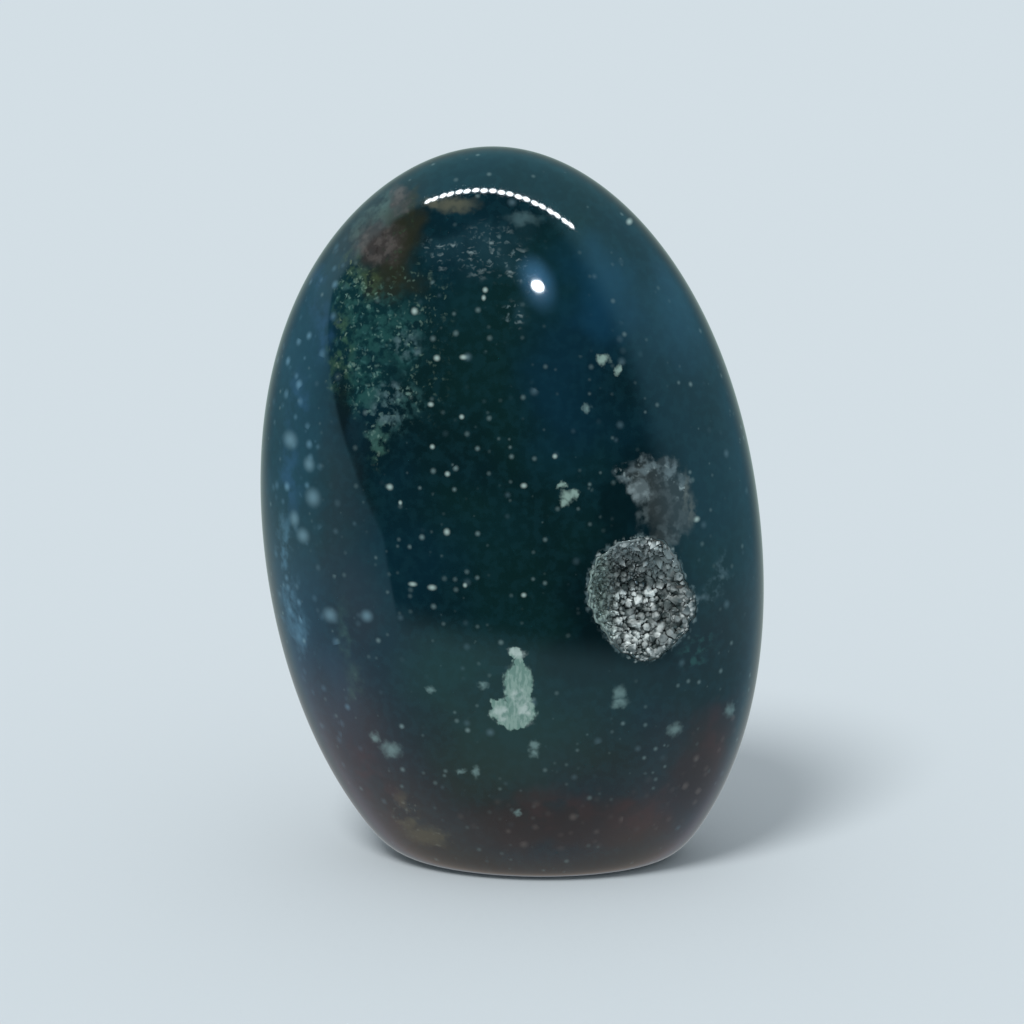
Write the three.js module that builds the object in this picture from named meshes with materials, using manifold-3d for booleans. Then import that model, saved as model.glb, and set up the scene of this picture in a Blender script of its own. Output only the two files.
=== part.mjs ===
// A polished bloodstone standing on its flat cut base, with one crystal-lined pocket in its front face.
// Units are millimetres. +Z is up, -Y is the front, and the origin is the middle of the base.

import * as THREE from "three";
import { mergeVertices } from "three/addons/utils/BufferGeometryUtils.js";
import Module from "manifold-3d";

const wasm = await Module();
wasm.setup();

// Driving dimensions of the stone
const HEIGHT = 100;
const HALF_WIDTH = 34.75;
const HALF_DEPTH = 21.5;
// The stone is an egg whose lower pole lies this far under the base, where it is cut flat.
const SUNK_POLE = 10;
// How far above and below the cut its edge is rounded over
const BASE_ROUNDING = 5.9;
// Each list is a polynomial in w, the height on a unit sphere, from -1 at the lower pole to 1 at the top.
const WIDTH_BY_HEIGHT = [1, 0, 0.045, 0, -0.065];
const DEPTH_BY_HEIGHT = [1, -0.06, -0.03];
const SIDEWAYS_SWAY = [0, -4.4, 0.47, 1.31];
const BACKWARD_SWAY = [0, 0.8, -0.5];
// The front is pushed this share of its depth to the right, and the back to the left.
const TWIST = 0.074;
// How often each edge of the icosahedron that the egg is shaped from is split
const STONE_DETAIL = 13;

// Driving dimensions of the pocket: its middle is this high, at this bearing on the unit sphere, in degrees.
const POCKET_HEIGHT = 41.6;
const POCKET_BEARING = -63;
const POCKET_RADIUS = 7.9;
const POCKET_DEPTH = 4.4;
const POCKET_DETAIL = 7;
// The rim isn't round: each wave goes around it so many times, with this height and its crest at this angle.
const RIM_WAVES = [
  { times: 2, height: 0.79, crest: 119.5 },
  { times: 4, height: 0.23, crest: -15 },
  { times: 5, height: 0.21, crest: -13 },
];

// Driving dimensions of the crystal crust
const CRUST_GAP = 0.3;
const CRUST_THICKNESS = 1.3;
// How far into the crust's thickness a crystal has its root
const ROOT_SHARE = 0.7;
const CRYSTAL_COUNT = 56;
const CRYSTAL_RADIUS = [0.6, 1.2];
const CRYSTAL_LENGTH = [1.5, 2.7];
const CRYSTAL_SIDES = 6;
// A crystal's pyramid is this many times as tall as its radius.
const PYRAMID_STEEPNESS = 1.2;
// Sideways lean of a crystal at random, and how much it turns towards the pocket's mouth
const CRYSTAL_LEAN = 0.9;
const CRYSTAL_RISE = 0.6;
// Crystals stand out to this share of the pocket's radius.
const CRYSTAL_REACH = 0.94;
// The crystal tips stop this far under the polished surface.
const TIPS_BELOW_POLISH = 0.2;
const GOLDEN_ANGLE = Math.PI * (3 - Math.sqrt(5));
// Each thing that varies at random from crystal to crystal draws with its own salt.
const SALT = { leanAcross: 1, leanUp: 2, radius: 3, length: 4, spin: 5 };
const SINE_HASH = { step: 12.9898, salt: 78.233, stretch: 43758.5453 };
const MERGE_TOLERANCE = 1e-4;

const polishedChalcedony = new THREE.MeshStandardMaterial({
  color: "#14313a",
  roughness: 0.08,
  metalness: 0,
});
const drusyQuartz = new THREE.MeshStandardMaterial({
  color: "#9aa6a6",
  roughness: 0.35,
  metalness: 0,
});

function polynomial(terms, w) {
  return terms.reduce((sum, term, power) => sum + term * w ** power, 0);
}

// The larger of a and b, blended smoothly where they differ by less than reach.
function smoothMax(a, b, reach) {
  const nearness = Math.max(reach - Math.abs(a - b), 0) / reach;
  return Math.max(a, b) + (nearness ** 3 * reach) / 6;
}

// Maps a point (u, v, w) of the unit sphere to the stone's skin.
function skinPoint(u, v, w) {
  const depth = HALF_DEPTH * v * polynomial(DEPTH_BY_HEIGHT, w);
  const width = HALF_WIDTH * u * polynomial(WIDTH_BY_HEIGHT, w);
  const rise = -SUNK_POLE + ((HEIGHT + SUNK_POLE) * (1 + w)) / 2;
  return new THREE.Vector3(
    width + polynomial(SIDEWAYS_SWAY, w) - TWIST * depth,
    depth + polynomial(BACKWARD_SWAY, w),
    smoothMax(rise, 0, BASE_ROUNDING),
  );
}

// A closed triangle mesh with shared vertices, as a solid that can be cut and joined.
function toSolid(geometry) {
  const plain = geometry.clone();
  plain.deleteAttribute("normal");
  plain.deleteAttribute("uv");
  const merged = mergeVertices(plain, MERGE_TOLERANCE);
  return new wasm.Manifold(
    new wasm.Mesh({
      numProp: 3,
      vertProperties: new Float32Array(merged.attributes.position.array),
      triVerts: new Uint32Array(merged.index.array),
    }),
  );
}

// Leaves out loose chips, and the skins of voids that leaning crystals close in.
function biggestPiece(solid) {
  return solid.decompose().reduce((best, piece) => (piece.volume() > best.volume() ? piece : best));
}

function toGeometry(solid) {
  const mesh = solid.getMesh();
  const geometry = new THREE.BufferGeometry();
  geometry.setAttribute("position", new THREE.BufferAttribute(mesh.vertProperties, mesh.numProp));
  geometry.setIndex(new THREE.BufferAttribute(mesh.triVerts, 1));
  geometry.computeVertexNormals();
  return geometry;
}

// Moves each vertex of a geometry to where place puts it.
function reshape(geometry, place) {
  const position = geometry.attributes.position;
  for (let i = 0; i < position.count; i += 1) {
    const moved = place(new THREE.Vector3().fromBufferAttribute(position, i));
    position.setXYZ(i, moved.x, moved.y, moved.z);
  }
  return geometry;
}

// The whole egg with its flat base, before the pocket is cut, centred on the base.
function stoneGeometry() {
  const geometry = reshape(new THREE.IcosahedronGeometry(1, STONE_DETAIL), (p) => skinPoint(p.x, p.y, p.z));
  geometry.computeBoundingBox();
  const middle = geometry.boundingBox.getCenter(new THREE.Vector3());
  geometry.translate(-middle.x, -middle.y, 0);
  return { geometry, middle };
}

// The pocket's frame has its origin on the skin, X along the skin, Y up it and Z straight out of the stone.
function pocketFrame(middle) {
  const w = (2 * (POCKET_HEIGHT + SUNK_POLE)) / (HEIGHT + SUNK_POLE) - 1;
  const bearing = THREE.MathUtils.degToRad(POCKET_BEARING);
  const at = (turn, level) => {
    const radius = Math.sqrt(1 - level * level);
    return skinPoint(radius * Math.cos(turn), radius * Math.sin(turn), level);
  };
  const step = 1e-3;
  const origin = at(bearing, w);
  const along = at(bearing + step, w).sub(origin).normalize();
  const upward = at(bearing, w + step).sub(origin).normalize();
  const out = new THREE.Vector3().crossVectors(along, upward).normalize();
  const up = new THREE.Vector3().crossVectors(out, along);
  const frame = new THREE.Matrix4().makeBasis(along, up, out);
  return frame.setPosition(origin.x - middle.x, origin.y - middle.y, origin.z);
}

function rimRadius(turn) {
  return RIM_WAVES.reduce(
    (radius, { times, height, crest }) =>
      radius + height * Math.cos(times * (turn - THREE.MathUtils.degToRad(crest))),
    POCKET_RADIUS,
  );
}

// A point of the pocket's wall, in the pocket's frame, for a point of the unit sphere.
// Shrink moves the wall inwards by that much.
function wallPoint(p, shrink) {
  const radius = rimRadius(Math.atan2(p.y, p.x)) - shrink;
  return new THREE.Vector3(p.x * radius, p.y * radius, p.z * (POCKET_DEPTH - shrink));
}

function pocketSolid(frame, shrink) {
  const geometry = reshape(new THREE.IcosahedronGeometry(1, POCKET_DETAIL), (p) => wallPoint(p, shrink));
  return toSolid(geometry.applyMatrix4(frame));
}

// A repeatable stand-in for a random number from 0 to 1.
function scatter(index, salt) {
  const value = Math.sin(index * SINE_HASH.step + salt * SINE_HASH.salt) * SINE_HASH.stretch;
  return value - Math.floor(value);
}

function between([low, high], share) {
  return low + (high - low) * share;
}

// One quartz point: a six-sided column under a six-sided pyramid, along +Y from its root.
function quartzPoint(radius, length) {
  const shoulder = length - PYRAMID_STEEPNESS * radius;
  const profile = [
    [0, 0],
    [radius, 0],
    [radius, shoulder],
    [0, length],
  ].map(([x, y]) => new THREE.Vector2(x, y));
  return new THREE.LatheGeometry(profile, CRYSTAL_SIDES);
}

// Where crystal number index stands: on the wall of the pocket, spread evenly by the golden angle.
function crystalPlace(index) {
  const reach = CRYSTAL_REACH * Math.sqrt((index + 0.5) / CRYSTAL_COUNT);
  const turn = index * GOLDEN_ANGLE;
  const below = -Math.sqrt(1 - reach * reach);
  const onSphere = new THREE.Vector3(reach * Math.cos(turn), reach * Math.sin(turn), below);
  const root = wallPoint(onSphere, CRUST_GAP + CRUST_THICKNESS * ROOT_SHARE);
  const lean = new THREE.Vector3(scatter(index, SALT.leanAcross) - 0.5, scatter(index, SALT.leanUp) - 0.5, 0);
  const direction = lean.multiplyScalar(CRYSTAL_LEAN).sub(onSphere);
  direction.z += CRYSTAL_RISE;
  return { root, direction: direction.normalize() };
}

function crystalSolid(index, frame) {
  const radius = between(CRYSTAL_RADIUS, scatter(index, SALT.radius));
  const length = between(CRYSTAL_LENGTH, scatter(index, SALT.length));
  const { root, direction } = crystalPlace(index);
  const stand = new THREE.Quaternion().setFromUnitVectors(new THREE.Vector3(0, 1, 0), direction);
  const spin = new THREE.Quaternion().setFromAxisAngle(direction, scatter(index, SALT.spin) * Math.PI);
  const place = new THREE.Matrix4().compose(root, spin.multiply(stand), new THREE.Vector3(1, 1, 1));
  return toSolid(quartzPoint(radius, length).applyMatrix4(place).applyMatrix4(frame));
}

// The crust: a thin bowl that lines the pocket, with the crystals grown together on it.
function crustSolid(frame, wholeStone) {
  const bowl = pocketSolid(frame, CRUST_GAP).subtract(pocketSolid(frame, CRUST_GAP + CRUST_THICKNESS));
  const crystals = Array.from({ length: CRYSTAL_COUNT }, (_, index) => crystalSolid(index, frame));
  const lining = crystals.reduce((grown, crystal) => grown.add(crystal), bowl);
  const inward = new THREE.Vector3().setFromMatrixColumn(frame, 2).multiplyScalar(-TIPS_BELOW_POLISH);
  const underPolish = wholeStone.translate(inward.toArray());
  return biggestPiece(lining.intersect(pocketSolid(frame, CRUST_GAP)).intersect(underPolish));
}

function namedMesh(name, geometry, material) {
  const mesh = new THREE.Mesh(geometry, material);
  mesh.name = name;
  return mesh;
}

const { geometry: wholeGeometry, middle } = stoneGeometry();
const wholeStone = toSolid(wholeGeometry);
const frame = pocketFrame(middle);
const stone = wholeStone.subtract(pocketSolid(frame, 0));
const crust = crustSolid(frame, wholeStone);

const part = new THREE.Group();
part.add(namedMesh("bloodstone", toGeometry(stone), polishedChalcedony));
part.add(namedMesh("quartz_crust", toGeometry(crust), drusyQuartz));

export default part;
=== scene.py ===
# %% [markdown]
# A polished bloodstone with a crystal pocket
#
# The real object is one lump of dark blue-green chalcedony. Someone ground it to an egg that is flattened
# from front to back, cut its lower end flat so that it stands, and polished it like glass. The grinding
# opened one small hollow in the front face, and quartz crystals line it.
#
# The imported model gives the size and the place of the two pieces. Here each of them is made again as a fine
# mesh in the same place, and gets its finish.

# %% Load the frame
import math

import bpy
from mathutils import Matrix, Vector
from mathutils.bvhtree import BVHTree


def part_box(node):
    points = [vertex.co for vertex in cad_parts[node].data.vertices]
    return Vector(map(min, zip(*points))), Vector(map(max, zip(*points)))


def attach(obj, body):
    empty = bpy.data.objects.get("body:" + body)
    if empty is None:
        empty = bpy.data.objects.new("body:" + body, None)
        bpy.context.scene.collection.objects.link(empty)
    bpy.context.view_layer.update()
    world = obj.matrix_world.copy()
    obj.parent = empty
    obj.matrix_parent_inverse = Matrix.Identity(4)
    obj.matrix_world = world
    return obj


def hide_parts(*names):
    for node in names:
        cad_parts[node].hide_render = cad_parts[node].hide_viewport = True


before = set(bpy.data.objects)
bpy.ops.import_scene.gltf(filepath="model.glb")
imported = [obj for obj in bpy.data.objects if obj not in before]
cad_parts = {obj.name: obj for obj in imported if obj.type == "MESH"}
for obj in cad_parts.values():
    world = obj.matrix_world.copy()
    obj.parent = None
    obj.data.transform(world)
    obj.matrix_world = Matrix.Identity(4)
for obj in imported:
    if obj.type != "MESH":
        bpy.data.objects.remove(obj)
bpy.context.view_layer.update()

MM = 0.001
STONE_LOW, STONE_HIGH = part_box("bloodstone")
HEIGHT = STONE_HIGH.z - STONE_LOW.z
print(f"the stone is {HEIGHT / MM:.1f} mm tall")

# %% [markdown]
# One helper for every node
#
# Shaders and Geometry Nodes are both built here in code. A node has settings, such as which sum it does, and
# sockets, which hold a value or a link. One small function adds a node with all of them and hands back the
# socket that the next node needs, so a chain of nodes reads like a chain of sums.

# %% Add a node with its settings and links
MATH = "ShaderNodeMath"
VECTOR_MATH = "ShaderNodeVectorMath"
NOISE = "ShaderNodeTexNoise"
VORONOI = "ShaderNodeTexVoronoi"
MAP_RANGE = "ShaderNodeMapRange"
MIX = "ShaderNodeMix"
RANDOM = "FunctionNodeRandomValue"
STORE = "GeometryNodeStoreNamedAttribute"
BOOLEAN = "GeometryNodeMeshBoolean"
# Settings that many nodes share
TIMES = {"operation": "MULTIPLY"}
MINUS = {"operation": "SUBTRACT"}
DOT = {"operation": "DOT_PRODUCT", "output": "Value"}
COLOURS = {"data_type": "RGBA", "output": 2}


def add(tree, kind, *values, sockets=None, output=0, **settings):
    """Adds a node and hands back one of its outputs.

    Values fill its inputs in order, and sockets fills them by name or number. A list links all its items.
    """
    node = tree.nodes.new(kind)
    for setting, value in settings.items():
        setattr(node, setting, value)
    for key, value in [*enumerate(values), *(sockets or {}).items()]:
        for each in value if isinstance(value, list) else [value]:
            if isinstance(each, bpy.types.NodeSocket):
                tree.links.new(each, node.inputs[key])
            elif each is not None:
                node.inputs[key].default_value = each
    return node.outputs[output] if node.outputs else None


# %% [markdown]
# Geometry Nodes in a script
#
# A tree is built once, with a named input for each size. It then runs on an empty object, and what it makes
# is kept as a plain mesh, because a finished piece has to be an ordinary mesh when it is exported.

# %% Start a tree, and run one
SOCKET_KINDS = {
    float: "NodeSocketFloat",
    int: "NodeSocketInt",
    bpy.types.Object: "NodeSocketObject",
}


def start_tree(name, sizes):
    """A new tree with one named input for each size. Returns the tree and its inputs by name."""
    tree = bpy.data.node_groups.new(name, "GeometryNodeTree")
    tree.interface.new_socket("Geometry", in_out="OUTPUT", socket_type="NodeSocketGeometry")
    for label, value in sizes.items():
        tree.interface.new_socket(label, in_out="INPUT", socket_type=SOCKET_KINDS[type(value)])
    return tree, tree.nodes.new("NodeGroupInput").outputs


def run_tree(tree, name, sizes):
    """Runs a tree on an empty object and keeps what it makes as a plain mesh."""
    piece = bpy.data.objects.new(name, bpy.data.meshes.new(name))
    bpy.context.scene.collection.objects.link(piece)
    modifier = piece.modifiers.new("Shape", "NODES")
    modifier.node_group = tree
    for item in tree.interface.items_tree:
        if item.in_out == "INPUT":
            modifier[item.identifier] = sizes[item.name]
    evaluated = piece.evaluated_get(bpy.context.evaluated_depsgraph_get())
    piece.data = bpy.data.meshes.new_from_object(evaluated)
    piece.modifiers.remove(modifier)
    print(f"{name} has {len(piece.data.polygons)} faces")
    return piece


# %% [markdown]
# The egg
#
# A hand-ground stone is smooth all over, so its shape is one formula: an ico sphere is stretched to the
# stone's height, width and depth, its middle line sways a little sideways as it rises, and its lower end is
# cut flat with a rounded edge. A formula keeps the reflections clean, where a sculpted mesh would make them
# ripple. Polynomials in the height say how the width, the depth and the sway change from the base to the
# top.

# %% The egg's sizes
EGG = {
    "Height": HEIGHT,
    "Half width": 34.75 * MM,
    "Half depth": 21.5 * MM,
    "Sunk pole": 10 * MM,
    "Base rounding": 5.9 * MM,
    "Twist": 0.074,
    "Subdivisions": 7,
}
WIDTH_BY_HEIGHT = [1, 0, 0.045, 0, -0.065]
DEPTH_BY_HEIGHT = [1, -0.06, -0.03]
SIDEWAYS_SWAY = [0, -4.4 * MM, 0.47 * MM, 1.31 * MM]
BACKWARD_SWAY = [0, 0.8 * MM, -0.5 * MM]


def polynomial(tree, terms, w):
    """The sum of terms[n] * w^n, as a chain of multiply-add nodes."""
    total = float(terms[-1])
    for term in reversed(terms[:-1]):
        total = add(tree, MATH, total, w, float(term), operation="MULTIPLY_ADD")
    return total


# %% Build the egg's tree and run it
def egg_tree():
    tree, size = start_tree("Polished egg", EGG)
    ball = add(tree, "GeometryNodeMeshIcoSphere", 1.0, size["Subdivisions"])
    place = add(tree, "GeometryNodeInputPosition")
    u, v, w = add(tree, "ShaderNodeSeparateXYZ", place).node.outputs

    depth = add(tree, MATH, v, size["Half depth"], **TIMES)
    depth = add(tree, MATH, depth, polynomial(tree, DEPTH_BY_HEIGHT, w), **TIMES)
    width = add(tree, MATH, u, size["Half width"], **TIMES)
    width = add(tree, MATH, width, polynomial(tree, WIDTH_BY_HEIGHT, w), **TIMES)

    whole = add(tree, MATH, size["Height"], size["Sunk pole"], operation="ADD")
    share = add(tree, MAP_RANGE, w, -1.0, 1.0, 0.0, 1.0)
    rise = add(tree, MATH, whole, share, **TIMES)
    rise = add(tree, MATH, rise, size["Sunk pole"], **MINUS)
    z = add(tree, MATH, rise, 0.0, size["Base rounding"], operation="SMOOTH_MAX")

    pushed = add(tree, MATH, depth, size["Twist"], **TIMES)
    x = add(tree, MATH, width, polynomial(tree, SIDEWAYS_SWAY, w), operation="ADD")
    x = add(tree, MATH, x, pushed, **MINUS)
    y = add(tree, MATH, depth, polynomial(tree, BACKWARD_SWAY, w), operation="ADD")
    skin = add(tree, "GeometryNodeSetPosition", ball, None, add(tree, "ShaderNodeCombineXYZ", x, y, z))

    corners = add(tree, "GeometryNodeBoundBox", skin).node.outputs
    middle = add(tree, VECTOR_MATH, corners["Min"], corners["Max"], operation="ADD")
    back = add(tree, VECTOR_MATH, middle, (-0.5, -0.5, 0), **TIMES)
    centred = add(tree, "GeometryNodeTransform", skin, sockets={"Translation": back})
    add(tree, "NodeGroupOutput", add(tree, "GeometryNodeSetShadeSmooth", centred))
    return tree


egg = run_tree(egg_tree(), "egg", EGG)
skin_tree = BVHTree.FromObject(egg, bpy.context.evaluated_depsgraph_get())
print("egg size in mm", [round(side / MM, 2) for side in egg.dimensions])


# %% [markdown]
# Places on the front
#
# Everything that the front face shows, such as the pocket and the flecks, has a place across and a height. A
# ray from the front finds how deep the skin lies there, and which way it faces.

# %% Find a place on the front
def on_front(across, height):
    """The skin's point and its outward normal, in metres, straight behind a place given in millimetres."""
    point, normal, _, _ = skin_tree.ray_cast(Vector((across * MM, -1, height * MM)), Vector((0, 1, 0)))
    return point, normal


# %% [markdown]
# The pocket's frame
#
# The pocket and its crystals are made around an empty that stands on the skin and looks straight out of it,
# so their sizes can be given along the skin and into the stone.

# %% Stand an empty at the pocket
POCKET_PLACE = (17.4, 41.6)

pocket_point, pocket_out = on_front(*POCKET_PLACE)
pocket_along = Vector((0, 0, 1)).cross(pocket_out).normalized()
pocket_up = pocket_out.cross(pocket_along)
pocket_mark = bpy.data.objects.new("pocket_mark", None)
bpy.context.scene.collection.objects.link(pocket_mark)
pocket_mark.matrix_world = Matrix.Translation(pocket_point) @ Matrix(
    (pocket_along, pocket_up, pocket_out)
).transposed().to_4x4()
print("the pocket's middle in mm", [round(side / MM, 1) for side in pocket_point])

# %% [markdown]
# The pocket
#
# A ball is squeezed to the pocket's depth, and three waves around it give the rim its lopsided outline.
# Noise adds the small bays that a natural hollow has. The same form, shrunk a little, makes the crust that
# lines it.

# %% The pocket's form
POCKET = {
    "Egg": egg,
    "Pocket mark": pocket_mark,
    "Pocket radius": 7.9 * MM,
    "Pocket depth": 4.4 * MM,
    "Rim bays": 0.5 * MM,
    "Wall subdivisions": 6,
}
# Each wave goes around the rim so many times, with this height and its crest at this angle.
RIM_WAVES = [(2, 0.79 * MM, 119.5), (4, 0.23 * MM, -15), (5, 0.21 * MM, -13)]
# Noise stays near its middle value, so it is stretched to reach as far as the bays go.
NOISE_MIDDLE = 0.5
BAY_NOISE = {"Scale": 1 / 0.22, "Detail": 3.0}
BAY_STRETCH = 4.0


def rim_radius(tree, x, y, radius, unit=1.0):
    """The waves around the rim, added to its radius, in the direction of x and y."""
    turn = add(tree, MATH, y, x, operation="ARCTAN2")
    for times, height, crest in RIM_WAVES:
        phase = -times * math.radians(crest)
        angle = add(tree, MATH, turn, float(times), phase, operation="MULTIPLY_ADD")
        wave = add(tree, MATH, angle, operation="COSINE")
        radius = add(tree, MATH, wave, height / unit, radius, operation="MULTIPLY_ADD")
    return radius


def pocket_form(tree, size, shrink):
    """The pocket's ball, in place on the stone; shrink, in metres, moves its wall inwards."""
    ball = add(tree, "GeometryNodeMeshIcoSphere", 1.0, size["Wall subdivisions"])
    place = add(tree, "GeometryNodeInputPosition")
    x, y, z = add(tree, "ShaderNodeSeparateXYZ", place).node.outputs
    radius = add(tree, MATH, size["Pocket radius"], shrink, **MINUS)
    radius = rim_radius(tree, x, y, radius)
    bays = add(tree, NOISE, place, sockets=BAY_NOISE)
    bays = add(tree, MATH, bays, NOISE_MIDDLE, **MINUS)
    bays = add(tree, MATH, bays, BAY_STRETCH, **TIMES)
    radius = add(tree, MATH, bays, size["Rim bays"], radius, operation="MULTIPLY_ADD")
    depth = add(tree, MATH, size["Pocket depth"], shrink, **MINUS)
    stretch = add(tree, "ShaderNodeCombineXYZ", radius, radius, depth)
    stretched = add(tree, VECTOR_MATH, place, stretch, **TIMES)
    form = add(tree, "GeometryNodeSetPosition", ball, None, stretched)
    mark = add(tree, "GeometryNodeObjectInfo", size["Pocket mark"]).node.outputs
    seat = {"Translation": mark["Location"], "Rotation": mark["Rotation"]}
    return add(tree, "GeometryNodeTransform", form, sockets=seat)


# %% [markdown]
# Cut the pocket into the stone
#
# An exact boolean subtracts the form from the egg. The new edge stays sharp, so that the polish around the
# pocket keeps its own smooth shading.

# %% Build the stone
def stone_tree(finish):
    tree, size = start_tree("Stone with its pocket", POCKET)
    whole = add(tree, "GeometryNodeObjectInfo", size["Egg"], output="Geometry")
    form = pocket_form(tree, size, 0.0)
    cut = add(tree, BOOLEAN, whole, form, operation="DIFFERENCE", solver="EXACT")
    rim = {"Name": "sharp_edge", "Value": cut.node.outputs["Intersecting Edges"]}
    cut = add(tree, STORE, cut, sockets=rim, data_type="BOOLEAN", domain="EDGE")
    cut = add(tree, "GeometryNodeSetShadeSmooth", cut)
    cut = add(tree, "GeometryNodeRealizeInstances", cut)
    add(tree, "NodeGroupOutput", add(tree, "GeometryNodeSetMaterial", cut, sockets={"Material": finish}))
    return tree


# %% [markdown]
# The quartz crust
#
# Drusy quartz is a skin of small crystals that grew out of the wall of a hollow, all pointing more or less
# into it. The crust is a thin bowl, and points are scattered over it, each with a six-sided crystal. Points
# scattered with a least distance look grown, where free random points would clump. Whatever reaches past
# the skin is pushed back to just under it, because the polishing wheel ground those tips off.

# %% The crust's sizes
CRUST = {
    **POCKET,
    "Wall gap": 0.04 * MM,
    "Crust thickness": 0.3 * MM,
    "Under the polish": 0.03 * MM,
    "Small spacing": 0.36 * MM,
    "Small radius": 0.29 * MM,
    "Large spacing": 0.95 * MM,
    "Large radius": 0.54 * MM,
    "Seed": 4,
}
# Each layer of crystals draws its random values from this seed on.
FIRST_SEEDS = {"Small": 0, "Large": 20}
# Crystals stand where the wall lies at least this deep, so many that only their spacing holds them apart.
ROOT_DEPTH = 0.1 * MM
POINT_DENSITY = 2e7

# %% One quartz point
CRYSTAL_SIDES = 6
# The column ends and the pyramid begins at this share of the length; the margin finds those corners.
SHOULDER = 0.5
SHOULDER_MARGIN = 0.1
# Painted light and shade: each facet is painted at its own random brightness, at least this share of the
# brightest.
DARKEST_FACET_SHADE = 0.35


def quartz_point(tree):
    """A six-sided column of radius 1 under a pyramid, 1 tall in all, standing on the origin."""
    form = {"Vertices": CRYSTAL_SIDES, "Side Segments": 2, "Radius Top": 0.0, "Radius Bottom": 1.0}
    cone = add(tree, "GeometryNodeMeshCone", sockets={**form, "Depth": 1.0})
    place = add(tree, "GeometryNodeInputPosition")
    height = add(tree, "ShaderNodeSeparateXYZ", place, output=2)
    margin = {"Epsilon": SHOULDER_MARGIN}
    shoulder = add(tree, "FunctionNodeCompare", height, SHOULDER, sockets=margin, operation="EQUAL")
    widening = 1 / (1 - SHOULDER)
    widened = add(tree, VECTOR_MATH, place, (widening, widening, 1), **TIMES)
    point = add(tree, "GeometryNodeSetPosition", cone, shoulder, widened)
    tip = {"Name": "tip", "Value": height}
    point = add(tree, STORE, point, sockets=tip, data_type="FLOAT", domain="POINT")
    # Painted light and shade: a random brightness for each facet
    facet_light_and_shade = add(tree, RANDOM, sockets={2: DARKEST_FACET_SHADE, 3: 1.0}, data_type="FLOAT", output=1)
    facet = {"Name": "facet", "Value": facet_light_and_shade}
    return add(tree, STORE, point, sockets=facet, data_type="FLOAT", domain="FACE")


# %% The bowl under the crystals
def height_over_skin(tree, size, place):
    """How far a place lies outside the stone's skin, and the skin's normal there."""
    skin = add(tree, "GeometryNodeObjectInfo", size["Egg"], output="Geometry")
    nearest = add(tree, "GeometryNodeProximity", skin, sockets={"Source Position": place})
    facing = add(tree, "GeometryNodeInputNormal")
    normal = add(
        tree, "GeometryNodeSampleNearestSurface", skin,
        sockets={"Value": facing, "Sample Position": place}, data_type="FLOAT_VECTOR",
    )
    offset = add(tree, VECTOR_MATH, place, nearest, **MINUS)
    return add(tree, VECTOR_MATH, offset, normal, **DOT), normal


def bowl_and_wall(tree, size, out):
    """The thin bowl that lines the pocket and ends just under the skin, and its inner wall."""
    egg_skin = add(tree, "GeometryNodeObjectInfo", size["Egg"], output="Geometry")
    inner_shrink = add(tree, MATH, size["Wall gap"], size["Crust thickness"], operation="ADD")
    outer = pocket_form(tree, size, size["Wall gap"])
    wall = pocket_form(tree, size, inner_shrink)
    sink = add(tree, MATH, size["Under the polish"], -1.0, **TIMES)
    sink = add(tree, VECTOR_MATH, out, sockets={"Scale": sink}, operation="SCALE")
    lowered = add(tree, "GeometryNodeTransform", egg_skin, sockets={"Translation": sink})
    plug = add(tree, BOOLEAN, None, [outer, lowered], operation="INTERSECT", solver="EXACT")
    bowl = add(tree, BOOLEAN, plug, wall, operation="DIFFERENCE", solver="EXACT")
    return bowl, wall


def under_polish(tree, size, grown):
    """Pushes whatever reaches past the skin back to just under it."""
    height, normal = height_over_skin(tree, size, add(tree, "GeometryNodeInputPosition"))
    height = add(tree, MATH, height, size["Under the polish"], operation="ADD")
    back = add(tree, MATH, height, 0.0, operation="MAXIMUM")
    back = add(tree, MATH, back, -1.0, **TIMES)
    back = add(tree, VECTOR_MATH, normal, sockets={"Scale": back}, operation="SCALE")
    return add(tree, "GeometryNodeSetPosition", grown, None, None, back)


# %% One layer of crystals
# How much crystals turn towards the pocket's mouth, and how far they lean at random
MOUTHWARD = 0.55
LEAN = 1.5
# What each crystal draws: its turn, its share of the layer's radius, its length in radii and its tone
SPIN = (0.0, math.tau)
RADIUS_SHARE = (0.55, 1.2)
LENGTH_SHARE = (2.2, 4.2)
TONE = (0.15, 1.0)


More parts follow.
